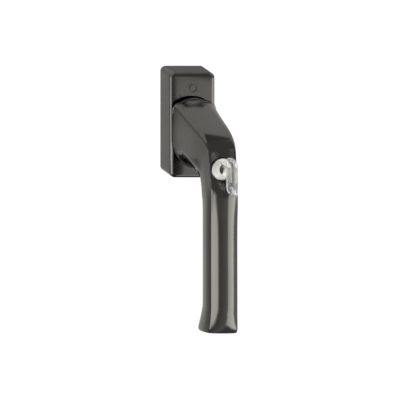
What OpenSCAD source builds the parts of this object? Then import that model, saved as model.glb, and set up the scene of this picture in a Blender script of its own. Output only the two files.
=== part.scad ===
// Lockable tilt-and-turn window handle: rose, cranked handle, spindle, cylinder lock and key.
// Millimetres. X right, Y into the wall, Z up. The spindle axis crosses the mounting
// plane (Y = 0) at the origin, and the handle points straight down (closed position).
// d in the comments is the distance in front of the mounting plane, d = -Y.

/* [Rose] */
// width of the rose cover
rose_w = 30.4; // [29:0.2:34]
// height of the rose cover
rose_h = 71.2; // [66:0.2:80]
// how far the rose stands off the sash
rose_t = 12.5; // [12:0.1:13.2]
// corner radius of the rose seen from the front
rose_corner = 3.6; // [2:0.2:5]
// how far the soft front edge of the rose runs back along the sides
rose_edge = 1.5; // [0.5:0.1:2.5]
// how far the same soft edge runs in over the front
rose_inset = 2.6; // [0.6:0.2:3]
// wall thickness of the hollow cover
rose_wall = 1.5; // [1.2:0.1:1.8]
// thickness of the stamped base plate
plate_t = 1.2; // [1:0.1:1.4]

/* [Fixing] */
// distance between the two fixing screws
screw_pitch = 43; // [43:0.5:44]
// radius of the screw shank (M5)
screw_r = 2.5; // [2:0.5:2.5]
// how far the screws reach behind the mounting plane
screw_reach = 18; // [12:1:50]
// radius of the support cams that key into the sash
cam_r = 5; // [5:0.1:6]
// how far the support cams stand out behind
cam_reach = 2.5; // [2:0.1:3]

/* [Spindle] */
// width across the flats of the square spindle
spindle_w = 7; // [6.5:0.1:7.2]
// how far the spindle reaches behind the mounting plane
spindle_reach = 18; // [12:1:45]

/* [Handle] */
// lateral scale of the grip and neck (1 is 17.8 mm wide at the grip)
grip_width = 1; // [0.95:0.01:1.05]
// height of the convex front of the grip over its two edges
grip_crown = 2.4; // [1.5:0.1:3]
// how far the end of the grip hangs below the spindle axis
grip_drop = 130.8; // [120.8:0.5:145.8]

/* [Lock] */
// distance of the lock axis below the spindle axis
lock_drop = 15.6; // [15.2:0.1:15.8]
// radius of the lock cylinder face
lock_r = 7.6; // [7.4:0.05:7.7]
// radius of the plug barrel
barrel_r = 5.5; // [5.2:0.1:5.7]
// height of the key bow
bow_h = 25; // [18:0.5:27]
// depth of the key bow along the key
bow_l = 10.6; // [9.6:0.2:15]
// thickness of the clear key bow
bow_t = 2.4; // [2.2:0.1:3.2]
// how far the middle of the bow sits below the blade
bow_drop = 0.7; // [0:0.1:2]
// travel of the locking pin
pin_travel = 4; // [3.5:0.1:4]
// distance of the locking pin from the spindle axis
pin_offset = 9.2; // [9.1:0.05:9.3]

/* [Hidden] */
$fn = 48;
root_d = 14.2;                 // where the neck starts, in front of the rose
collar_r = 11.6;               // round collar in the rose opening
rose_hole_r = collar_r + 0.4;
clip_z = rose_h / 2 - 4.9;      // where the cover clips stand on the plate
shank_r = 6;                   // journal of the handle
bush_r = 7;
drum_r = 12.3;
drum_front = 9.6;
chamber_front = 6;
hub_half = 6;
hub_corner = 7.3;
pin_r = 1.5;
pin_rest_tip = 10.3;           // the pin ends here while the handle is free
ramp_d = 24;                   // foot of the helical ramp
lock_face = 47.4;
grub_r = 1.5;
eps = 0.02;

// ---------------------------------------------------------------- helpers
// a cylinder along Y between two distances in front of the mounting plane
module rod(d0, d1, r, r2 = -1)
  translate([0, -d0, 0]) rotate([90, 0, 0])
    cylinder(h = d1 - d0, r1 = r, r2 = r2 < 0 ? r : r2);
// a flat plate of a 2D outline in X and Z, between two distances
module slab(d0, d1) translate([0, -d0, 0]) rotate([90, 0, 0]) linear_extrude(d1 - d0) children();
module ring(d0, d1, ro, ri) slab(d0, d1) difference() { circle(ro); circle(ri); }
module rounded(w, h, r) {
  square([w - 2 * r, h], center = true);
  square([w, h - 2 * r], center = true);
  for (x = [-1, 1], z = [-1, 1]) translate([x * (w / 2 - r), z * (h / 2 - r)]) circle(r);
}
// a rectangle from 0 to t whose two far corners follow a quarter ellipse
module soft_front(w, t, deep, inset) polygon(concat(
  [[-w / 2, 0]],
  [for (a = [0 : 15 : 90]) [-w / 2 + inset * (1 - cos(a)), t - deep + deep * sin(a)]],
  [for (a = [90 : -15 : 0]) [w / 2 - inset * (1 - cos(a)), t - deep + deep * sin(a)]],
  [[w / 2, 0]]));

// ---------------------------------------------------------------- handle loft
// Each station joins a point of the outer profile to a point of the inner profile:
// [outer d, outer z, inner d, inner z, half width, crown, edge radius, ridge, back angle]
// crown is the height of the convex front, ridge the share of the depth that is the rounded
// back, and back angle says how fully the back is rounded (90 is a half ellipse).
c = grip_crown;
tail = 130.8 - grip_drop;      // moves the end of the grip up or down
stations = [
  [root_d, 19.4, root_d, -28, 14.7, 2.9, 5.0, 0.34, 82],
  [14.4, 18.0, 15.2, -26.6, 14.4, 1.8, 5.0, 0.31, 78],
  [15.0, 17.4, 16.6, -25.6, 14.0, 1.1, 5.0, 0.29, 74],
  [17.2, 16.2, 18.4, -25.0, 13.5, 0.7, 5.0, 0.28, 71],
  [20.4, 14.75, 20.4, -24.8, 13.1, 0.5, 4.8, 0.29, 68],
  [25.0, 12.65, 22.5, -25.0, 12.8, 0.4, 4.4, 0.30, 66],
  [30.6, 10.2, 25.0, -25.8, 12.4, 0.3, 3.8, 0.31, 65],
  [35.7, 7.9, 26.9, -26.8, 11.9, 0.3, 3.0, 0.32, 65],
  [40.8, 5.2, 28.7, -28.2, 11.1, 0.3, 2.4, 0.33, 66],
  [44.4, 2.3, 30.3, -30.0, 10.3, 0.3, 1.9, 0.35, 68],
  [46.3, -0.8, 31.5, -32.0, 9.75, 0.4, 1.3, 0.35, 71],
  [47.2, -4.4, 32.5, -34.2, 9.5, 0.4, 1, 0.35, 75],
  [48.2, -11.8, 33.2, -38.0, 9.3, 0.4, 1, 0.36, 80],
  [49.2, -20.0, 33.5, -42.5, 9.2, 0.6, 1, 0.38, 84],
  [50.7, -25.0, 33.6, -45.5, 9.15, 1.4, 1, 0.39, 84],
  [51.7, -30.0, 33.6, -48.0, 9.15, 2.2, 1, 0.39, 84],
  [49.6 + c, -36.0, 33.6, -51.0, 9.15, c, 1, 0.39, 84],
  [49.6 + c, -60.0, 33.6, -62.0, 9.15, c, 1, 0.39, 84],
  [49.7 + c, -104.6 + tail, 33.6, -105.6 + tail, 9.15, c, 1, 0.39, 84],
  [51.7, -112.6 + tail, 32.9, -113.6 + tail, 9.25, 2.2, 1, 0.39, 84],
  [51.1, -118.1 + tail, 31.4, -120.1 + tail, 9.5, 1.9, 1, 0.38, 84],
  [50.3, -122.1 + tail, 29.8, -125.8 + tail, 9.75, 1.5, 1, 0.37, 84],
  [49.5, -124.5 + tail, 29.2, -128.8 + tail, 9.8, 1.2, 1.2, 0.37, 84],
  [48.7, -125.9 + tail, 29.6, -130.2 + tail, 9.25, 1.0, 1.4, 0.37, 86],
  [47.2, -126.6 + tail, 31.0, -130.8 + tail, 8.0, 1.0, 1.4, 0.37, 88]
];
last = len(stations) - 1;
function key(i) = stations[max(0, min(last, i))];
// Catmull-Rom halfway point between stations i and i + 1
function between(i) = (9 * (key(i) + key(i + 1)) - key(i - 1) - key(i + 2)) / 16;
all_stations = [for (i = [0 : last - 1], half = [0, 1]) half == 0 ? key(i) : between(i), key(last)];

front_steps = 8;
back_steps = 12;
crown_angle = 30;
flank_bulge = 0.4;              // how far the flanks swell at half depth
// closed outline of one station in [across, along], along measured from inner to outer
function outline(s, span) =
  let (a = s[4] * grip_width, r = s[6], psi = crown_angle, edge = span - s[5],
       low = s[7] * span, turn = s[8])
  concat(
    [for (k = [0 : front_steps]) let (u = -1 + 2 * k / front_steps)
      [(a - r) * sin(psi * u) / sin(psi),
       edge + s[5] * (cos(psi * u) - cos(psi)) / (1 - cos(psi))]],
    [for (t = [30, 60, 90]) [a - r + r * sin(t), edge - r + r * cos(t)]],
    [[a + flank_bulge, (edge - r + low) / 2]],
    [for (k = [0 : back_steps]) let (u = 1 - 2 * k / back_steps)
      [a * sin(turn * u) / sin(turn),
       low - low * (cos(turn * u) - cos(turn)) / (1 - cos(turn))]],
    [[-a - flank_bulge, (edge - r + low) / 2]],
    [for (t = [90, 60, 30]) [-(a - r + r * sin(t)), edge - r + r * cos(t)]]
  );
function placed(s) =
  let (run = [s[0] - s[2], s[1] - s[3]], span = norm(run), t = run / span)
  [for (p = outline(s, span)) [p[0], -(s[2] + t[0] * p[1]), s[3] + t[1] * p[1]]];
module loft(sections) {
  rings = [for (s = sections) placed(s)];
  n = len(rings[0]);
  m = len(rings);
  first_mid = [0, -(sections[0][0] + sections[0][2]) / 2, (sections[0][1] + sections[0][3]) / 2];
  last_mid = [0, -(sections[m - 1][0] + sections[m - 1][2]) / 2,
              (sections[m - 1][1] + sections[m - 1][3]) / 2];
  points = concat([for (r = rings, p = r) p], [first_mid, last_mid]);
  faces = concat(
    [for (i = [0 : m - 2], j = [0 : n - 1]) let (k = (j + 1) % n)
      [i * n + k, (i + 1) * n + j, i * n + j]],
    [for (i = [0 : m - 2], j = [0 : n - 1]) let (k = (j + 1) % n)
      [(i + 1) * n + k, (i + 1) * n + j, i * n + k]],
    [for (j = [0 : n - 1]) [(j + 1) % n, j, m * n]],
    [for (j = [0 : n - 1]) [(m - 1) * n + j, (m - 1) * n + (j + 1) % n, m * n + 1]]
  );
  polyhedron(points, faces, convexity = 6);
}

// ---------------------------------------------------------------- base, fixed to the sash
module base_plate() color("#8d9298")
  difference() {
    slab(0, plate_t) rounded(rose_w - 2 * rose_wall - 0.6, rose_h - 2 * rose_wall - 0.6, 2.2);
    rod(-1, plate_t + 1, 5.9);
    for (z = [-1, 1]) translate([0, 0, z * screw_pitch / 2]) rod(-1, plate_t + 1, cam_r + 0.05);
    for (x = [-1, 1], z = [-1, 1]) translate([x * 9, 0, z * 11.4]) rod(-1, plate_t + 1, 1.0);
    // slots under the cover clips
    for (z = [-1, 1]) translate([0, 0, z * (clip_z + 0.3)]) slab(-1, plate_t + 1) square([6.4, 1.6], center = true);
  }

// two sleeves that carry the screw heads and key into the sash from behind
module support_cams() color("#b9bcc0")
  for (z = [-1, 1]) translate([0, 0, z * screw_pitch / 2]) difference() {
    union() {
      rod(-cam_reach, 0, cam_r);
      rod(0, plate_t, cam_r - 0.5);
      rod(plate_t, 4.2, cam_r + 1.2);
    }
    rod(-cam_reach - 1, 5, screw_r + 0.1);
    rod(1.9, 4.2 + eps, screw_r + 0.1, 4.7);
  }

// zinc drum: journal for the handle in front, detent chamber behind
module detent_housing() color("#a3a6a8")
  difference() {
    union() {
      rod(plate_t, drum_front, drum_r);
      // feet for the four rivets
      for (x = [-1, 1], z = [-1, 1]) translate([x * 9, 0, z * 11.4]) rod(plate_t, 3.2, 3);
    }
    rod(chamber_front - 1, drum_front + 1, bush_r);
    rod(0, chamber_front, 7.6);
    for (x = [-1, 1]) translate([x * 7.1, 0, 0]) slab(0, chamber_front)
      square([2.2, 16], center = true);
    for (a = [0 : 90 : 270]) rotate([0, a, 0]) translate([0, 0, pin_offset])
      rod(chamber_front - 1, drum_front + 1, pin_r + 0.3);
    for (x = [-1, 1], z = [-1, 1]) translate([x * 9, 0, z * 11.4]) rod(0, 4, 1.0);
  }

module housing_rivets() color("#c9ccd0")
  for (x = [-1, 1], z = [-1, 1]) translate([x * 9, 0, z * 11.4]) {
    rod(0.1, 3.2, 1.0);
    rod(3.2, 3.9, 1.7, 1.1);
  }

// flat springs that hold the rounded-square hub at every quarter turn
module leaf(x) translate([x * 6.5, 0, 0]) slab(2.6, 5.6) {
  square([0.6, 15], center = true);
  for (z = [-1, 1]) translate([x * 0.35, z * 7.2]) square([1.2, 0.6], center = true);
}
module leaf_spring_left() color("#6f7b86") leaf(-1);
module leaf_spring_right() color("#6f7b86") leaf(1);

module bearing_bush() color("#e9e6da")
  ring(chamber_front, drum_front - 0.1, bush_r, shank_r + 0.06);

module mounting_screws() color("#c4b98f")
  for (z = [-1, 1]) translate([0, 0, z * screw_pitch / 2]) difference() {
    union() {
      // thread core under the head, full thread behind the support cam
      rod(-cam_reach - 0.4, 2.1, screw_r - 0.4);
      rod(-screw_reach, -cam_reach - 0.4, screw_r);
      rod(-screw_reach - 1.2, -screw_reach, 1.4, screw_r);
      rod(2.0, 4.1, screw_r - 0.1, 4.5);
    }
    // cross recess
    slab(2.2, 5) { square([4.6, 0.9], center = true); square([0.9, 4.6], center = true); }
    rod(1.6, 2.8, 0.6, 1.1);
  }

// bent strips that grip the ends of the cover
module cover_clips() color("#9aa3ab")
  for (z = [-1, 1]) scale_sign(z) {
    translate([-3, -plate_t - 6.4, clip_z]) cube([6, 6.4, 0.6]);
    translate([-3, -plate_t, clip_z]) cube([6, plate_t, 0.6]);
    translate([-3, -plate_t - 6.4, clip_z + 0.5]) cube([6, 0.6, 2.4]);
  }
module scale_sign(z) rotate([0, z > 0 ? 0 : 180, 0]) children();

// ---------------------------------------------------------------- cover
module rose_cover() color("#5d5b57")
  difference() {
    intersection() {
      slab(0.2, rose_t) rounded(rose_w, rose_h, rose_corner);
      translate([0, 0, -rose_h]) linear_extrude(2 * rose_h) mirror([0, 1])
        soft_front(rose_w, rose_t, rose_edge, rose_inset);
      rotate([0, 90, 0]) translate([0, 0, -rose_w]) linear_extrude(2 * rose_w) mirror([0, 1])
        soft_front(rose_h, rose_t, rose_edge, rose_inset);
    }
    slab(-1, rose_t - rose_wall)
      rounded(rose_w - 2 * rose_wall, rose_h - 2 * rose_wall, 2.5);
    rod(0, rose_t + 1, rose_hole_r);
    // plain turned dimple in the upper half
    translate([0, 0, 25.4]) ring(rose_t - 0.4, rose_t + 1, 2.8, 2.3);
  }

// ---------------------------------------------------------------- handle
module handle() color("#5a5751")
  difference() {
    union() {
      loft(all_stations);
      rod(10.2, root_d + 1, collar_r);
      rod(chamber_front + 0.2, 11, shank_r);
    }
    // spindle pocket
    slab(0, 32) square(spindle_w + 0.1, center = true);
    // set screw bore in the collar
    translate([3, -12.3, 0]) rotate([0, 90, 0]) cylinder(h = 12, r = grub_r);
    // locking pin guide and spring pocket
    translate([0, 0, -pin_offset]) {
      rod(9, 14, pin_r + 0.08);
      rod(13, 24, 2.75);
    }
    translate([0, 0, -lock_drop]) {
      rod(28, 70, 7.9);
      rod(18.6, 28.5, 7.5);
      // seat of the bezel and a flat land around it
      rod(lock_face - 1.5, 70, 8.5);
    }
    // lock set screw from below
    translate([0, -31, -40]) cylinder(h = 17, r = grub_r);
  }

module detent_hub() color("#d8d4c4")
  difference() {
    intersection() {
      slab(2.7, chamber_front - 0.1) square(2 * hub_half, center = true);
      rod(2, 7, hub_corner);
    }
    slab(2, 7) square(spindle_w, center = true);
  }

module spindle_clip() color("#50565c")
  difference() {
    ring(1.6, 2.6, 5.5, 3.75);
    slab(1, 3) translate([0, -5]) square([3, 4], center = true);
  }

module square_spindle() color("#c9ccd0")
  difference() {
    slab(-spindle_reach, 31.8) square(spindle_w, center = true);
    difference() { slab(1.6, 2.6) square(12, center = true); rod(1, 3, 3.75); }
  }

module spindle_set_screw() color("#3c4046")
  difference() {
    translate([spindle_w / 2, -12.3, 0]) rotate([0, 90, 0]) cylinder(h = 6.4, r = grub_r);
    translate([spindle_w / 2 + 4.6, -12.3, 0]) rotate([0, 90, 0]) cylinder(h = 3, r = 0.75, $fn = 6);
  }

module lock_bezel() color("#77746d")
  translate([0, 0, -lock_drop]) {
    ring(lock_face - 1.5, lock_face + 1.3, 8.5, 7.95);
    difference() {
      rod(lock_face + 1.3, lock_face + 1.5, 8.5, 8.3);
      rod(lock_face, lock_face + 2, 7.95);
    }
  }

module lock_housing() color("#b8bbbd")
  translate([0, 0, -lock_drop]) difference() {
    rod(28, lock_face - 1.6, 7.9);
    rod(27, 49, barrel_r + 0.06);
    // wafer grooves above and below the barrel
    for (z = [-1, 1]) translate([0, 0, z * 5.8]) slab(30, 44.4) square([5.4, 1.6], center = true);
    // dimple for the set screw
    translate([0, -31, -8.4]) cylinder(h = 0.9, r = grub_r);
  }

module lock_set_screw() color("#3c4046")
  difference() {
    translate([0, -31, -lock_drop - 7.5 - 3.6]) cylinder(h = 3.6, r = grub_r);
    translate([0, -31, -lock_drop - 7.5 - 3.6 - 0.1]) cylinder(h = 1.6, r = 0.75, $fn = 6);
  }

// ---------------------------------------------------------------- lock plug
wafer_d = [31, 33.7, 36.4, 39.1, 41.8];
module keyway(d0, d1) slab(d0, d1) {
  square([1.4, 6.6], center = true);
  translate([0.5, 1.0]) square([1.2, 1.1], center = true);
}
module lock_plug() color("#d5d4ce")
  translate([0, 0, -lock_drop]) difference() {
    union() {
      rod(26.6, lock_face - 1.4, barrel_r);
      rod(lock_face - 1.5, lock_face - 0.3, lock_r);
      rod(lock_face - 0.3, lock_face, lock_r, lock_r - 0.3);
    }
    keyway(28.4, 50);
    // lens-shaped recess round the key slot
    slab(lock_face - 4.4, 50) intersection_for(x = [-1.5, 1.5]) translate([x, 0]) circle(3.7);
    for (d = wafer_d) slab(d, d + 1) square([5.2, 12], center = true);
    rod(26, 30, 1.1);
    // two small marks over the key slot
    for (x = [-1, 1]) translate([x * 1.05, 0, 4.8]) rod(lock_face - 0.3, 50, 0.35);
  }

module lock_wafers() color("#c8a64f")
  translate([0, 0, -lock_drop]) for (k = [0 : 4]) difference() {
    intersection() {
      slab(wafer_d[k] + 0.05, wafer_d[k] + 0.95) square([5.1, 12], center = true);
      rod(28, 47, barrel_r - 0.1);
    }
    slab(28, 47) square([1.6, 6.8], center = true);
    slab(28, 47) translate([0.6, 1.0]) square([1.4, 1.5], center = true);
  }

// face cam whose helical ramp pushes the locking pin over a quarter turn
ramp_in = 4.8;
ramp_out = 6.9;
cam_disc_r = 7.2;
ramp_steps = 26;
function ramp_angle(k) = -20 + 130 * k / ramp_steps;
module ramp() {
  points = [for (k = [0 : ramp_steps]) let (a = ramp_angle(k), top = ramp_d - pin_travel * a / 90)
    for (p = [[ramp_in, top], [ramp_out, top], [ramp_out, ramp_d + 1.5], [ramp_in, ramp_d + 1.5]])
      [-p[0] * sin(a), -p[1], p[0] * cos(a)]];
  n = 4;
  faces = concat(
    [for (k = [0 : ramp_steps - 1], j = [0 : 3]) [k * n + j, k * n + (j + 1) % n, k * n + n + j]],
    [for (k = [0 : ramp_steps - 1], j = [0 : 3])
      [k * n + (j + 1) % n, k * n + n + (j + 1) % n, k * n + n + j]],
    [[3, 2, 1, 0], [for (j = [0 : 3]) ramp_steps * n + j]]
  );
  polyhedron(points, faces, convexity = 4);
}
module lock_cam() color("#9aa0a5")
  translate([0, 0, -lock_drop]) difference() {
    union() {
      rod(ramp_d + 1.0, 26.6, cam_disc_r);
      ramp();
    }
    rod(20, 30, 1.6);
  }

module cam_screw() color("#3c4046")
  translate([0, 0, -lock_drop]) difference() {
    union() {
      rod(24.9, 29.6, 1.1);
      rod(25, 26.6, 1.6);
      rod(23.6, 25, 2.6);
    }
    slab(23, 24.3) square([4.2, 0.7], center = true);
  }

// ---------------------------------------------------------------- locking pin
module locking_pin() color("#cfd2d4")
  translate([0, 0, -pin_offset]) {
    rod(pin_rest_tip + 0.5, 21.8, pin_r);
    rod(pin_rest_tip, pin_rest_tip + 0.5, pin_r - 0.4, pin_r);
    rod(21.7, 22.9, 2.2);
    rod(22.9, 23.6, 1.6, 0.7);
  }

// compression spring round the pin
coil_turns = 5;
coil_r = 2.1;
wire_r = 0.28;
module pin_spring() color("#8f979e") {
  per = 16;
  total = coil_turns * per;
  side = 6;
  low = 13.0 + wire_r + 0.02;
  high = 21.7 - wire_r - 0.02;
  points = [for (k = [0 : total], j = [0 : side - 1])
    let (a = 360 * k / per, b = 360 * j / side, rr = coil_r + wire_r * cos(b))
      [rr * sin(a), -(low + (high - low) * k / total + wire_r * sin(b)), -pin_offset + rr * cos(a)]];
  faces = concat(
    [for (k = [0 : total - 1], j = [0 : side - 1]) let (q = (j + 1) % side)
      [k * side + j, (k + 1) * side + j, k * side + q]],
    [for (k = [0 : total - 1], j = [0 : side - 1]) let (q = (j + 1) % side)
      [k * side + q, (k + 1) * side + j, (k + 1) * side + q]],
    [[for (j = [0 : side - 1]) j], [for (j = [side - 1 : -1 : 0]) total * side + j]]
  );
  polyhedron(points, faces, convexity = 10);
}

// ---------------------------------------------------------------- key
bow_d = lock_face + 6;
module key_blade() color("#cdb98a")
  translate([0, 0, -lock_drop]) difference() {
    union() {
      translate([-0.55, -bow_d - 5, -2.8]) cube([1.1, bow_d + 5 - 30, 5.6]);
      translate([-0.55, -bow_d - 5, -4.5]) cube([1.1, 5, 9]);
      translate([-0.55, -bow_d, -3.2]) cube([1.1, bow_d - lock_face - 1.2, 6.4]);
    }
    // code cuts on both edges
    for (k = [0 : 4], z = [-1, 1])
      translate([0, -wafer_d[k] - 0.5, z * (3.5 - 0.2 * ((k * 3) % 4))]) rotate([0, 90, 0])
        cylinder(h = 4, r = 1.1, center = true, $fn = 24);
    // long grooves in both faces
    for (x = [-1, 1]) translate([x * 0.55 - 0.2, -bow_d, -x * 1.5 - 0.6]) cube([0.4, bow_d - 29, 1.2]);
    // point of the blade
    for (z = [-1, 1]) translate([0, -29.4, z * 3.3]) rotate([45, 0, 0]) cube([3, 2.2, 2.2], center = true);
  }

module bow_outline(grow) {
  r = 4.4;
  for (y = [r, bow_l - r], z = [-1, 1]) translate([y, z * (bow_h / 2 - r)]) circle(r + grow);
  translate([r, -bow_h / 2 - grow]) square([bow_l - 2 * r, bow_h + 2 * grow]);
  translate([-grow, -bow_h / 2 + r]) square([bow_l + 2 * grow, bow_h - 2 * r]);
}
module key_bow() color("#c9d2d0", 0.6)
  translate([0, -bow_d, -lock_drop]) difference() {
    // the outline lies in Y and Z and is thickened along X
    translate([0, 0, -bow_drop]) rotate([0, -90, 0]) rotate([0, 0, 180])
      translate([0, 0, -bow_t / 2]) linear_extrude(bow_t) rotate(90) bow_outline(0);
    // pocket moulded round the tang
    translate([-0.57, -5.02, -4.52]) cube([1.14, 5.04, 9.04]);
    // hole for a key ring
    translate([0, -bow_l / 2, -bow_h / 2 + 4 - bow_drop]) rotate([0, 90, 0])
      cylinder(h = bow_t + 2, r = 2, center = true);
  }

// ---------------------------------------------------------------- assembly

base_plate();
support_cams();
detent_housing();
housing_rivets();
leaf_spring_left();
leaf_spring_right();
bearing_bush();
mounting_screws();
cover_clips();
rose_cover();
handle();
detent_hub();
spindle_clip();
square_spindle();
spindle_set_screw();
lock_bezel();
lock_housing();
lock_set_screw();
lock_plug();
lock_wafers();
lock_cam();
cam_screw();
locking_pin();
pin_spring();
key_blade();
key_bow();
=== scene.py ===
import math

import bmesh
import bpy
import numpy as np
from mathutils import Matrix, Vector


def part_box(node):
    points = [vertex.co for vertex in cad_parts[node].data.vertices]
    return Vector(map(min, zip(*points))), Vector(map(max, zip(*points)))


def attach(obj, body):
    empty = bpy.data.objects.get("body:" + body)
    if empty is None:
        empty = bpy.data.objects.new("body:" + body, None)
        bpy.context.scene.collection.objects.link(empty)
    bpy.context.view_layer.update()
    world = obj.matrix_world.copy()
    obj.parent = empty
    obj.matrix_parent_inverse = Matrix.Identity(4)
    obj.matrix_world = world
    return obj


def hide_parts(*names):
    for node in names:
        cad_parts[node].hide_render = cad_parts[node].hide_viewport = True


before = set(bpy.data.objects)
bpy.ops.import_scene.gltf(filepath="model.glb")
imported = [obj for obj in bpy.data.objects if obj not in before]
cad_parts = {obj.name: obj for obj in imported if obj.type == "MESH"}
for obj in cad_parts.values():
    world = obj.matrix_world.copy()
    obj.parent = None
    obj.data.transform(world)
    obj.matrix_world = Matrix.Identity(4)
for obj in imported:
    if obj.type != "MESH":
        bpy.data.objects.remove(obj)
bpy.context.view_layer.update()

# Lockable tilt-and-turn window handle: X right, +Y into the sash, +Z up. Pieces are drawn in
# millimetres as (x, d, z), where d is the distance in front of the sash, so d = -y, and
# piece() turns them into metres. Camera, floor and light are in metres from the start.
MM = 0.001
scene = bpy.context.scene


# ------------------------------------------------------------------ sizes from the frame
class Extent:
    """The box of a CAD node in millimetres, from the near to the far distance d."""

    def __init__(self, node):
        low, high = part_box(node)
        self.near, self.far = -high.y / MM, -low.y / MM
        self.z0, self.z1 = low.z / MM, high.z / MM
        self.width = high.x / MM - low.x / MM
        self.depth = self.far - self.near
        self.height = self.z1 - self.z0
        self.mid_d = (self.near + self.far) / 2
        self.mid_z = (self.z0 + self.z1) / 2


COVER = Extent("rose_cover")
PLUG = Extent("lock_plug")
BEZEL = Extent("lock_bezel")
BOW = Extent("key_bow")
LOCK_SCREW = Extent("lock_set_screw")
PIN_Z = Extent("locking_pin").mid_z
SPINDLE_W = Extent("square_spindle").width
LOCK_Z = PLUG.mid_z
LOCK_R = PLUG.width / 2

# collar and shank of the handle, and the plane in which the neck starts
COLLAR_R, COLLAR_BACK, COLLAR_EDGE = 11.6, 10.2, 0.3
SHANK_R, SHANK_BACK, SHANK_EDGE = 6.0, Extent("handle").near, 0.4
ROOT_D = 14.2
AXIS_R = 0.001  # smallest radius of a turned solid, so that its ends still have a ring

# bores of the handle along Y: (near d, far d, radius, z)
BEZEL_SEAT = (PLUG.far - 1.5, 60, LOCK_R + 0.9, LOCK_Z)
LOCK_SLEEVE = (28, 60, 7.9, LOCK_Z)
CAM_CHAMBER = (18.6, 28.5, 7.5, LOCK_Z)
PIN_GUIDE = (9, 14, 1.58, PIN_Z)
SPRING_POCKET = (13, 24, 2.75, PIN_Z)
SPINDLE_POCKET, SPINDLE_GAP = 32, 0.1
# set screw bores: one up into the lock sleeve, one across the collar
SET_SCREW_R = 1.5
SLEEVE_BORE, SLEEVE_BORE_BELOW = 20, 8
COLLAR_BORE, COLLAR_BORE_X, COLLAR_BORE_D = 12, 9, 12.3

# rose cover: the edge between front and sides is a quarter ellipse, INSET wide and EDGE deep
COVER_WALL, COVER_CORNER, COVER_INNER_CORNER = 1.5, 3.6, 2.5
COVER_EDGE, COVER_INSET, COVER_BACK_EDGE = 1.5, 2.6, 0.2
COVER_HOLE_R, COVER_HOLE_EDGE = COLLAR_R + 0.4, 0.4
RING_Z, RING_IN, RING_OUT, RING_DEEP = 25.4, 2.3, 2.8, 0.4

# key bow: corner radius, rounding of the edge, thinner panel and hole for a key ring
BOW_CORNER, BOW_CORNER_LEAST, BOW_EDGE = 4.2, 0.6, 0.6
BOW_BORDER, BOW_STEP, BOW_RECESS = 1.7, 0.35, 0.35
BOW_HOLE_R, BOW_HOLE_UP = 2, 4


# ------------------------------------------------------------------ mesh helpers
def linked(name, bm):
    """A new object in the scene with the mesh of a bmesh, which is freed."""
    mesh = bpy.data.meshes.new(name)
    bm.to_mesh(mesh)
    bm.free()
    obj = bpy.data.objects.new(name, mesh)
    scene.collection.objects.link(obj)
    return obj


def soften(obj, angle):
    """Smooth shading that keeps edges sharper than an angle in degrees."""
    mesh = obj.data
    mesh.polygons.foreach_set("use_smooth", [True] * len(mesh.polygons))
    mesh.set_sharp_from_angle(angle=math.radians(angle))


def piece(name, bm, smooth_angle=35):
    """A mesh object in metres from a bmesh in millimetres of (x, d, z)."""
    for v in bm.verts:
        v.co = Vector((v.co.x, -v.co.y, v.co.z)) * MM
    bmesh.ops.reverse_faces(bm, faces=bm.faces)
    obj = linked(name, bm)
    soften(obj, smooth_angle)
    return obj


def skin(rings, loop=False):
    """Quads through rings of equal length, closed by two end caps or into a loop."""
    bm = bmesh.new()
    grid = [[bm.verts.new(p) for p in ring] for ring in rings]
    following = grid[1:] + (grid[:1] if loop else [])
    for low, high in zip(grid, following):
        for k in range(len(low)):
            q = (k + 1) % len(low)
            bm.faces.new((low[k], low[q], high[q], high[k]))
    if not loop:
        bm.faces.new(grid[0][::-1])
        bm.faces.new(grid[-1])
    bmesh.ops.recalc_face_normals(bm, faces=bm.faces)
    return bm


def turned(profile, z=0.0, steps=96, loop=True):
    """Turns a profile of (radius, d) about the line along Y at height z."""
    angles = [2 * math.pi * k / steps for k in range(steps)]
    return skin([[(radius * math.cos(a), d, z + radius * math.sin(a)) for a in angles]
                 for radius, d in profile], loop)


def rod(near, far, radius, z=0.0):
    """A cylinder along Y between two distances in front of the sash."""
    profile = [(AXIS_R, near), (radius, near), (radius, far), (AXIS_R, far)]
    return turned(profile, z, steps=64, loop=False)


ALONG_X = Matrix.Rotation(math.pi / 2, 4, "Y")


def bar(radius, length, place, sides):
    """A cylinder along Z, turned and moved by a matrix."""
    bm = bmesh.new()
    bmesh.ops.create_cone(bm, cap_ends=True, segments=sides, radius1=radius, radius2=radius,
                          depth=length, matrix=place)
    return bm


def combine(obj, other, operation):
    """Applies an exact boolean with another object and deletes that object."""
    mod = obj.modifiers.new("cut", "BOOLEAN")
    mod.operation = operation
    mod.solver = "EXACT"
    mod.object = other
    bpy.context.view_layer.update()
    evaluated = obj.evaluated_get(bpy.context.evaluated_depsgraph_get())
    mesh = bpy.data.meshes.new_from_object(evaluated)
    obj.modifiers.remove(mod)
    obj.data = mesh
    bpy.data.objects.remove(other)


def cut(obj, bm):
    """Cuts the solid of a bmesh out of an object."""
    combine(obj, piece("cutter", bm), "DIFFERENCE")


def bevel(obj, width):
    """Rounds the sharp edges of a CAD node by a width in millimetres."""
    mod = obj.modifiers.new("soft_edges", "BEVEL")
    mod.width = width * MM
    mod.segments = 2
    mod.limit_method = "ANGLE"
    mod.angle_limit = math.radians(35)
    mod.harden_normals = False


def quarter(steps):
    """Angles from 0 to 90 degrees, in radians."""
    return [math.pi / 2 * k / steps for k in range(steps + 1)]


def corner_arcs(width, height, radius, steps):
    """The corner arcs of a rounded rectangle about the origin, as points (a, b)."""
    arcs = []
    for a, b, start in ((1, 1, 0), (-1, 1, 90), (-1, -1, 180), (1, -1, 270)):
        arcs.append([(a * (width / 2 - radius) + radius * math.cos(math.radians(start) + t),
                      b * (height / 2 - radius) + radius * math.sin(math.radians(start) + t))
                     for t in quarter(steps)])
    return arcs


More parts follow.
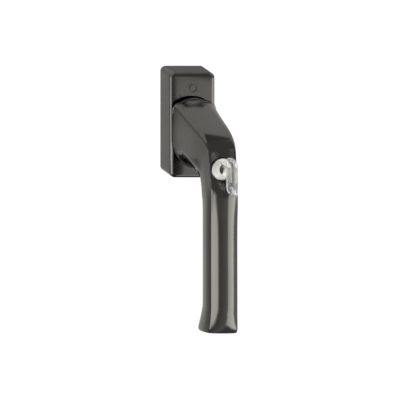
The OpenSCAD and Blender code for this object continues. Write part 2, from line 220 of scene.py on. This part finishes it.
# ------------------------------------------------------------------ materials
def principled(name, base, metallic, roughness):
    mat = bpy.data.materials.new(name)
    mat.use_nodes = True
    shader = mat.node_tree.nodes["Principled BSDF"]
    shader.inputs["Base Color"].default_value = (*base, 1)
    shader.inputs["Metallic"].default_value = metallic
    shader.inputs["Roughness"].default_value = roughness
    return mat, mat.node_tree, shader


def noise(tree, coords, scale, detail, stretch=(1, 1, 1)):
    mapping = tree.nodes.new("ShaderNodeMapping")
    mapping.inputs["Scale"].default_value = stretch
    tree.links.new(coords.outputs["Object"], mapping.inputs["Vector"])
    tex = tree.nodes.new("ShaderNodeTexNoise")
    tex.inputs["Scale"].default_value = scale
    tex.inputs["Detail"].default_value = detail
    tree.links.new(mapping.outputs["Vector"], tex.inputs["Vector"])
    return tex


def tint_by(tex, tree, shader, dark, light):
    """Lets a noise move the colour between two values over the middle of its range."""
    ramp = tree.nodes.new("ShaderNodeValToRGB")
    for element, position, colour in zip(ramp.color_ramp.elements, (0.3, 0.7), (dark, light)):
        element.position = position
        element.color = (*colour, 1)
    tree.links.new(tex.outputs["Fac"], ramp.inputs["Fac"])
    tree.links.new(ramp.outputs["Color"], shader.inputs["Base Color"])


def roughen_by(tex, tree, shader, low, high):
    """Lets a noise move the roughness between two values."""
    spread = tree.nodes.new("ShaderNodeMapRange")
    spread.inputs["To Min"].default_value = low
    spread.inputs["To Max"].default_value = high
    tree.links.new(tex.outputs["Fac"], spread.inputs["Value"])
    tree.links.new(spread.outputs["Result"], shader.inputs["Roughness"])


def surface(name, base, metallic, roughness, tint=0.05, cloud=60.0, grain=4000.0,
            grain_depth=0.02, rough_spread=0.04, stretch=(1, 1, 1)):
    """A metal or plastic with soft colour clouds, uneven roughness and a fine grain."""
    mat, tree, shader = principled(name, base, metallic, roughness)
    coords = tree.nodes.new("ShaderNodeTexCoord")
    clouds = noise(tree, coords, cloud, 4.0)
    dark = tuple(c * (1 - tint) for c in base)
    light = tuple(min(1.0, c * (1 + tint)) for c in base)
    tint_by(clouds, tree, shader, dark, light)
    roughen_by(clouds, tree, shader, roughness - rough_spread, roughness + rough_spread)
    fine = noise(tree, coords, grain, 2.0, stretch)
    bump = tree.nodes.new("ShaderNodeBump")
    bump.inputs["Strength"].default_value = grain_depth * 10
    bump.inputs["Distance"].default_value = 0.02 * MM
    tree.links.new(fine.outputs["Fac"], bump.inputs["Height"])
    tree.links.new(bump.outputs["Normal"], shader.inputs["Normal"])
    return mat


def clear_plastic():
    """Moulded clear plastic with a slightly uneven gloss."""
    mat, tree, shader = principled("clear_key_plastic", (0.94, 0.95, 0.93), 0.0, 0.06)
    shader.inputs["Transmission Weight"].default_value = 0.88
    shader.inputs["IOR"].default_value = 1.49
    flow = noise(tree, tree.nodes.new("ShaderNodeTexCoord"), 220.0, 3.0)
    roughen_by(flow, tree, shader, 0.03, 0.12)
    return mat


BRONZE = surface("satin_bronze", (0.097, 0.0935, 0.0855), 1.0, 0.14, tint=0.03, cloud=45,
                 grain=9000, grain_depth=0.015, rough_spread=0.02)
STEEL = surface("zinc_plated_sheet", (0.52, 0.54, 0.56), 1.0, 0.36, tint=0.12, cloud=380,
                grain=5000, grain_depth=0.03)
CAST_ZINC = surface("die_cast_zinc", (0.44, 0.45, 0.46), 0.95, 0.48, tint=0.08, cloud=260,
                    grain=3500, grain_depth=0.05)
BRIGHT_STEEL = surface("bright_zinc_bar", (0.60, 0.61, 0.62), 1.0, 0.28, tint=0.06, cloud=200,
                       grain=6000, grain_depth=0.03, stretch=(1, 0.08, 1))
SPRING = surface("blued_spring", (0.24, 0.28, 0.33), 1.0, 0.30, tint=0.15, cloud=150)
YELLOW_ZINC = surface("yellow_passivate", (0.62, 0.52, 0.27), 1.0, 0.30, tint=0.18, cloud=170,
                      grain=6000, grain_depth=0.03)
BLACK_OXIDE = surface("black_oxide", (0.045, 0.045, 0.05), 0.9, 0.42, tint=0.2, cloud=300)
BRASS = surface("stamped_brass", (0.66, 0.47, 0.17), 1.0, 0.28, tint=0.08, cloud=300)
ACETAL = surface("natural_acetal", (0.82, 0.80, 0.72), 0.0, 0.38, tint=0.02, cloud=150)
NICKEL = surface("satin_nickel", (0.80, 0.79, 0.75), 1.0, 0.34, tint=0.03, cloud=200,
                 grain=5000, grain_depth=0.02, stretch=(0.12, 1, 1))
KEY_METAL = surface("key_nickel_silver", (0.75, 0.74, 0.70), 1.0, 0.30, tint=0.05, cloud=250,
                    grain=5000, grain_depth=0.03, stretch=(1, 0.1, 1))
CLEAR = clear_plastic()


def paint(obj, mat):
    obj.data.materials.clear()
    obj.data.materials.append(mat)


# ------------------------------------------------------------------ handle
# Each station joins a point of the outer profile to a point of the inner profile:
# outer d, outer z, inner d, inner z, half width, crown, edge radius, ridge, back angle.
# Crown is the height of the convex front, ridge the share of the depth that is the rounded
# back, and back angle says how fully the back is rounded (90 is a half ellipse).
STATIONS = [
    (ROOT_D, 19.4, ROOT_D, -28, 14.7, 2.9, 5.0, 0.34, 82),
    (14.4, 18.0, 15.2, -26.6, 14.4, 1.8, 5.0, 0.31, 78),
    (15.0, 17.4, 16.6, -25.6, 14.0, 1.1, 5.0, 0.29, 74),
    (17.2, 16.2, 18.4, -25.0, 13.5, 0.7, 5.0, 0.28, 71),
    (20.4, 14.75, 20.4, -24.8, 13.1, 0.5, 4.8, 0.29, 68),
    (25.0, 12.65, 22.5, -25.0, 12.8, 0.4, 4.4, 0.30, 66),
    (30.6, 10.2, 25.0, -25.8, 12.4, 0.3, 3.8, 0.31, 65),
    (35.7, 7.9, 26.9, -26.8, 11.9, 0.3, 3.0, 0.32, 65),
    (40.8, 5.2, 28.7, -28.2, 11.1, 0.3, 2.4, 0.33, 66),
    (44.4, 2.3, 30.3, -30.0, 10.3, 0.3, 1.9, 0.35, 68),
    (46.3, -0.8, 31.5, -32.0, 9.75, 0.4, 1.3, 0.35, 71),
    (47.2, -4.4, 32.5, -34.2, 9.5, 0.4, 1, 0.35, 75),
    (48.2, -11.8, 33.2, -38.0, 9.3, 0.4, 1, 0.36, 80),
    (49.2, -20.0, 33.5, -42.5, 9.2, 0.6, 1, 0.38, 84),
    (50.7, -25.0, 33.6, -45.5, 9.15, 1.4, 1, 0.39, 84),
    (51.7, -30.0, 33.6, -48.0, 9.15, 2.2, 1, 0.39, 84),
    (52.0, -36.0, 33.6, -51.0, 9.15, 2.4, 1, 0.39, 84),
    (52.0, -60.0, 33.6, -62.0, 9.15, 2.4, 1, 0.39, 84),
    (52.1, -104.6, 33.6, -105.6, 9.15, 2.4, 1, 0.39, 84),
    (51.7, -112.6, 32.9, -113.6, 9.25, 2.2, 1, 0.39, 84),
    (51.1, -118.1, 31.4, -120.1, 9.5, 1.9, 1, 0.38, 84),
    (50.3, -122.1, 29.8, -125.8, 9.75, 1.5, 1, 0.37, 84),
    (49.5, -124.5, 29.2, -128.8, 9.8, 1.2, 1.2, 0.37, 84),
    (48.7, -125.9, 29.6, -130.2, 9.25, 1.0, 1.4, 0.37, 86),
    (47.2, -126.6, 31.0, -130.8, 8.0, 1.0, 1.4, 0.37, 88),
]
CROWN_ANGLE = math.radians(30)
FLANK_BULGE = 0.4


def smooth_station(i, t):
    """Catmull-Rom between stations i and i + 1."""
    last = len(STATIONS) - 1
    p = [np.array(STATIONS[max(0, min(last, i + k))], float) for k in (-1, 0, 1, 2)]
    return 0.5 * (2 * p[1] + (p[2] - p[0]) * t + (2 * p[0] - 5 * p[1] + 4 * p[2] - p[3]) * t * t
                  + (3 * p[1] - p[0] - 3 * p[2] + p[3]) * t ** 3)


def arch(u, angle):
    """1 in the middle of an arc and 0 at its ends, for u from -1 to 1."""
    return (math.cos(angle * u) - math.cos(angle)) / (1 - math.cos(angle))


def outline(wide, crown, radius, ridge, back_angle, span, front=28, corner=8, flank=10, back=36):
    """Closed outline of one station in (across, along), with slightly convex flanks."""
    low, turn = ridge * span, math.radians(back_angle)
    edge, psi = span - crown, CROWN_ANGLE
    points = []
    for k in range(front + 1):
        u = -1 + 2 * k / front
        points.append(((wide - radius) * math.sin(psi * u) / math.sin(psi),
                       edge + crown * arch(u, psi)))
    right = []
    for k in range(1, corner + 1):
        t = psi + (math.pi / 2 - psi) * k / corner
        right.append((wide - radius + radius * math.sin(t), edge - radius + radius * math.cos(t)))
    top = edge - radius
    for k in range(1, flank):
        t = k / flank
        right.append((wide + FLANK_BULGE * math.sin(math.pi * t), top + (low - top) * t))
    points += right
    for k in range(back + 1):
        u = 1 - 2 * k / back
        points.append((wide * math.sin(turn * u) / math.sin(turn), low - low * arch(u, turn)))
    points += [(-x, y) for x, y in reversed(right)]
    return points


def placed(station):
    """The ring of one station, its outline standing between its two profile points."""
    inner = station[2:4]
    run = station[0:2] - inner
    span = float(np.linalg.norm(run))
    run = run / span
    return [(x, inner[0] + run[0] * y, inner[1] + run[1] * y)
            for x, y in outline(*station[4:], span)]


def handle_rings(steps=6):
    sections = []
    for i in range(len(STATIONS) - 1):
        sections += [smooth_station(i, k / steps) for k in range(steps)]
    sections.append(np.array(STATIONS[-1], float))
    return [placed(s) for s in sections]


def make_handle():
    """Cast grip, neck, collar and shank in one piece, with its bores."""
    obj = piece("handle_casting", skin(handle_rings()), 40)
    collar = [
        (AXIS_R, SHANK_BACK), (SHANK_R - SHANK_EDGE, SHANK_BACK),
        (SHANK_R, SHANK_BACK + SHANK_EDGE), (SHANK_R, COLLAR_BACK),
        (COLLAR_R - COLLAR_EDGE, COLLAR_BACK), (COLLAR_R, COLLAR_BACK + COLLAR_EDGE),
        (COLLAR_R, ROOT_D + 1.0), (AXIS_R, ROOT_D + 1.0)]
    combine(obj, piece("collar", turned(collar, loop=False)), "UNION")
    for bore in (BEZEL_SEAT, LOCK_SLEEVE, CAM_CHAMBER, PIN_GUIDE, SPRING_POCKET):
        cut(obj, rod(*bore))
    upward = Matrix.Translation((0, LOCK_SCREW.mid_d, LOCK_SCREW.z0 - SLEEVE_BORE_BELOW))
    across = Matrix.Translation((COLLAR_BORE_X, COLLAR_BORE_D, 0)) @ ALONG_X
    cut(obj, bar(SET_SCREW_R, SLEEVE_BORE, upward, 40))
    cut(obj, bar(SET_SCREW_R, COLLAR_BORE, across, 40))
    side = SPINDLE_W + SPINDLE_GAP
    pocket = bmesh.new()
    bmesh.ops.create_cube(pocket, size=1, matrix=Matrix.Translation((0, SPINDLE_POCKET / 2, 0))
                          @ Matrix.Diagonal((side, SPINDLE_POCKET, side, 1)))
    cut(obj, pocket)
    soften(obj, 40)
    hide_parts("handle")
    paint(obj, BRONZE)
    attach(obj, "handle")


make_handle()


# ------------------------------------------------------------------ rose cover
def rounded_outline(inset, radius, d, side=20):
    """The cover's outline at distance d, with extra points along its straight sides."""
    arcs = corner_arcs(COVER.width - 2 * inset, COVER.height - 2 * inset, radius, 12)
    points = []
    for arc, after in zip(arcs, arcs[1:] + arcs[:1]):
        start, end = Vector(arc[-1]), Vector(after[0])
        points += arc + [tuple(start.lerp(end, k / side)) for k in range(1, side)]
    return [(x, d, z) for x, z in points]


def hole_outline(like, radius, d):
    """A circle with one point for each point of another outline."""
    angles = [math.atan2(z, x) for x, _, z in like]
    return [(radius * math.cos(a), d, radius * math.sin(a)) for a in angles]


def make_cover():
    """Hollow rose with a soft front edge, a round hole and a plain ring dimple."""
    r, e, small = COVER_CORNER, COVER_EDGE, COVER_BACK_EDGE
    rim = rounded_outline(0, r, COVER.near)
    rings = [rounded_outline(small, r - small, COVER.near),
             rounded_outline(0, r, COVER.near + small)]
    for t in quarter(14):
        inset = COVER_INSET * (1 - math.cos(t))
        rings.append(rounded_outline(inset, r - inset, COVER.far - e + e * math.sin(t)))
    for t in quarter(4):
        rings.append(hole_outline(rim, COVER_HOLE_R + COVER_HOLE_EDGE * (1 - math.sin(t)),
                                  COVER.far - COVER_HOLE_EDGE * (1 - math.cos(t))))
    inside = COVER.far - COVER_WALL
    rings += [hole_outline(rim, COVER_HOLE_R, inside),
              rounded_outline(COVER_WALL, COVER_INNER_CORNER, inside),
              rounded_outline(COVER_WALL, COVER_INNER_CORNER, COVER.near)]
    obj = piece("rose_cover_shell", skin(rings, loop=True), 30)
    floor_d, above = COVER.far - RING_DEEP, COVER.far + 1
    cut(obj, turned([(RING_IN, floor_d), (RING_OUT, floor_d), (RING_OUT, above),
                     (RING_IN, above)], RING_Z))
    soften(obj, 30)
    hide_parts("rose_cover")
    paint(obj, BRONZE)
    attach(obj, "cover")


make_cover()


# ------------------------------------------------------------------ lock and key
def make_bezel():
    """Ring round the lock with a half-round crest."""
    outer, inner = BEZEL.width / 2, LOCK_R + 0.35
    mid, half = (outer + inner) / 2, (outer - inner) / 2
    crest = []
    for k in range(9):
        t = math.pi * k / 8
        crest.append((mid + half * math.cos(t), BEZEL.far - half + half * math.sin(t)))
    profile = [(inner, BEZEL.near), (outer, BEZEL.near), *crest]
    obj = piece("lock_bezel_ring", turned(profile, LOCK_Z), 50)
    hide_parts("lock_bezel")
    paint(obj, BRONZE)
    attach(obj, "handle")


make_bezel()


def bow_ring(x, inset):
    """The bow's outline, drawn in by an inset, in the plane of one x."""
    radius = max(BOW_CORNER - inset, BOW_CORNER_LEAST)
    arcs = corner_arcs(BOW.depth - 2 * inset, BOW.height - 2 * inset, radius, 10)
    return [(x, BOW.mid_d + a, BOW.mid_z + b) for arc in arcs for a, b in arc]


def make_bow():
    """Clear moulded plate with rounded outline, a thinner panel and a key-ring hole."""
    half = BOW.width / 2
    section = [(half - BOW_EDGE + BOW_EDGE * math.sin(t), BOW_EDGE * (1 - math.cos(t)))
               for t in quarter(5)]
    section += [(half, BOW_BORDER), (half - BOW_RECESS, BOW_BORDER + BOW_STEP)]
    # from the middle of one face round the edge to the middle of the other
    whole = [(-x, inset) for x, inset in reversed(section)] + section
    obj = piece("key_bow_plate", skin([bow_ring(x, inset) for x, inset in whole]), 40)
    hole = Matrix.Translation((0, BOW.mid_d, BOW.z0 + BOW_HOLE_UP)) @ ALONG_X
    cut(obj, bar(BOW_HOLE_R, 8, hole, 48))
    soften(obj, 40)
    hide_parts("key_bow")
    paint(obj, CLEAR)
    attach(obj, "key")


make_bow()

# ------------------------------------------------------------------ CAD nodes that stay
FINISHES = {
    "base_plate": STEEL, "support_cams": CAST_ZINC, "detent_housing": CAST_ZINC,
    "housing_rivets": BRIGHT_STEEL, "leaf_spring_left": SPRING, "leaf_spring_right": SPRING,
    "bearing_bush": ACETAL, "mounting_screws": YELLOW_ZINC, "cover_clips": SPRING,
    "detent_hub": CAST_ZINC, "spindle_clip": SPRING, "square_spindle": BRIGHT_STEEL,
    "spindle_set_screw": BLACK_OXIDE, "lock_housing": CAST_ZINC, "lock_set_screw": BLACK_OXIDE,
    "pin_spring": SPRING, "lock_plug": NICKEL, "lock_wafers": BRASS, "lock_cam": CAST_ZINC,
    "cam_screw": BLACK_OXIDE, "key_blade": KEY_METAL, "locking_pin": BRIGHT_STEEL,
}
EDGE_WIDTHS = {"square_spindle": 0.25, "base_plate": 0.12, "key_blade": 0.12,
               "lock_plug": 0.06, "support_cams": 0.12, "mounting_screws": 0.08}
for node_name, finish in FINISHES.items():
    paint(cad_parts[node_name], finish)
for node_name, edge_width in EDGE_WIDTHS.items():
    bevel(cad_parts[node_name], edge_width)


# ------------------------------------------------------------------ camera
# The image plane stays parallel to the wall, as with a shift lens, and the line of sight
# is oblique: each step of d towards the user moves a point right by SIDE and down by FALL.
SIDE, FALL = 0.5734, 0.4057
FRAME_WIDTH = 0.2705
CAMERA_DISTANCE = 1.5
AIM = Vector((0.01186, 0.0, -0.0554))


def make_camera():
    data = bpy.data.cameras.new("camera")
    data.type = "ORTHO"
    data.ortho_scale = FRAME_WIDTH
    data.clip_start, data.clip_end = 0.01, 20.0
    camera = bpy.data.objects.new("camera", data)
    rig = bpy.data.objects.new("camera_rig", None)
    for obj in (camera, rig):
        scene.collection.objects.link(obj)
    camera.parent = rig
    sight = Vector((-SIDE, -1.0, FALL)).normalized()
    eye = AIM + sight * CAMERA_DISTANCE
    camera.matrix_parent_inverse = Matrix(((1, 0, sight.x, eye.x), (0, 0, sight.y, eye.y),
                                           (0, 1, sight.z, eye.z), (0, 0, 0, 1)))
    return camera


bpy.context.scene.camera = make_camera()


# ------------------------------------------------------------------ stage and light
FLOOR_Z = -0.6
SKY_STRENGTH = 1.12
CARD_CENTRE = Vector((0.0, -0.05, 0.0))
CARD_STEPS = 24


def panel(name, centre, size, facing, mat, disc=False):
    """A flat rectangle or disc centred on a point and facing another."""
    bm = bmesh.new()
    if disc:
        bmesh.ops.create_circle(bm, cap_ends=True, segments=64, radius=0.5)
    else:
        bmesh.ops.create_grid(bm, x_segments=1, y_segments=1, size=0.5)
    obj = linked(name, bm)
    obj.scale = (*size, 1)
    obj.location = centre
    obj.rotation_mode = "QUATERNION"
    obj.rotation_quaternion = (Vector(facing) - Vector(centre)).to_track_quat("Z", "Y")
    obj.data.materials.append(mat)
    return obj


def only_reflected(obj):
    obj.visible_camera = False
    obj.visible_diffuse = False
    obj.visible_shadow = False
    obj.visible_transmission = False


def glow(name, start, end=None):
    """An emitter, graded along its length if it has two levels; a low one makes a dark flag."""
    mat = bpy.data.materials.new(name)
    mat.use_nodes = True
    tree = mat.node_tree
    tree.nodes.clear()
    emission = tree.nodes.new("ShaderNodeEmission")
    emission.inputs["Color"].default_value = (1, 1, 1, 1)
    emission.inputs["Strength"].default_value = start
    if end is not None:
        across = tree.nodes.new("ShaderNodeUVMap")
        split = tree.nodes.new("ShaderNodeSeparateXYZ")
        spread = tree.nodes.new("ShaderNodeMapRange")
        spread.inputs["To Min"].default_value = start
        spread.inputs["To Max"].default_value = end
        tree.links.new(across.outputs["UV"], split.inputs["Vector"])
        tree.links.new(split.outputs["X"], spread.inputs["Value"])
        tree.links.new(spread.outputs["Result"], emission.inputs["Strength"])
    output = tree.nodes.new("ShaderNodeOutputMaterial")
    tree.links.new(emission.outputs["Emission"], output.inputs["Surface"])
    return mat


def card(name, azimuths, heights, distance, *levels):
    """A curved upright card; azimuth 0 is in front (-Y), 90 on the right (+X)."""
    bm = bmesh.new()
    uv = bm.loops.layers.uv.new("across")
    columns = []
    for k in range(CARD_STEPS + 1):
        a = math.radians(azimuths[0] + (azimuths[1] - azimuths[0]) * k / CARD_STEPS)
        x, y = math.sin(a) * distance, -math.cos(a) * distance
        columns.append([bm.verts.new(CARD_CENTRE + Vector((x, y, z))) for z in heights])
    for k, (left, right) in enumerate(zip(columns, columns[1:])):
        face = bm.faces.new((left[0], right[0], right[1], left[1]))
        for loop, at in zip(face.loops, (k, k + 1, k + 1, k)):
            loop[uv].uv = (at / CARD_STEPS, 0)
    obj = linked(name, bm)
    obj.data.materials.append(glow(name, *levels))
    only_reflected(obj)


def flat_flag(name, centre, size, level, disc=False):
    """A flat dark flag that faces the handle."""
    only_reflected(panel(name, centre, size, CARD_CENTRE, glow(name, level), disc))


panel("floor", (0, 0, FLOOR_Z), (30, 30), (0, 0, 1),
      principled("pale_floor", (0.93, 0.93, 0.93), 0.0, 0.9)[0])

world = bpy.data.worlds.new("studio")
scene.world = world
world.use_nodes = True
sky = world.node_tree.nodes["Background"]
sky.inputs["Color"].default_value = (1, 1, 1, 1)
sky.inputs["Strength"].default_value = SKY_STRENGTH

# Softboxes, tent walls and dark flags stand round the grip and only show as reflections:
# azimuths in degrees, heights and distance in metres, then the light level at each end.
card("softbox_left", (-66, -12), (-0.58, 0.02), 0.6, 4.3, 3.2)
card("softbox_right", (37, 71), (-0.58, -0.14), 0.6, 2.6, 4.2)
card("flag_right", (72, 98), (-0.58, 0.1), 0.6, 0.75)
card("tent_left", (-170, -140), (-0.58, 0.3), 0.7, 1.15, 0.95)
card("tent_front", (-140, -66), (-0.58, -0.19), 0.7, 1.1, 0.25)
card("tent_high", (-140, -66), (-0.19, 0.3), 0.7, 0.85, 0.2)
card("flag_grip", (-12, 37), (-0.35, -0.051), 0.06, 0.32, 0.7)
card("flag_neck", (-12, 38), (-0.051, 0.004), 0.06, 0.33)
card("flag_elbow", (-30, 68), (0.004, 0.10), 0.06, 0.33)
card("flag_neck_right", (34, 98), (-0.115, 0.03), 0.5, 0.3)
card("flag_crease", (-62, -12), (-0.041, 0.05), 0.061, 0.33)
card("flag_left", (-146, -118), (-0.25, -0.068), 0.12, 0.85, 0.2)
card("flag_left_front", (-118, -66), (-0.25, -0.068), 0.12, 0.2)
card("flag_back", (135, 175), (0.02, 0.40), 0.60, 0.5)
flat_flag("flag_low", (0, -0.05, -0.32), (0.54, 0.54), 0.3, disc=True)
flat_flag("flag_roof", (0.12, -0.165, 0.38), (0.3, 0.19), 0.26)

scene.view_settings.view_transform = "Standard"
scene.view_settings.look = "None"

bpy.context.view_layer.update()
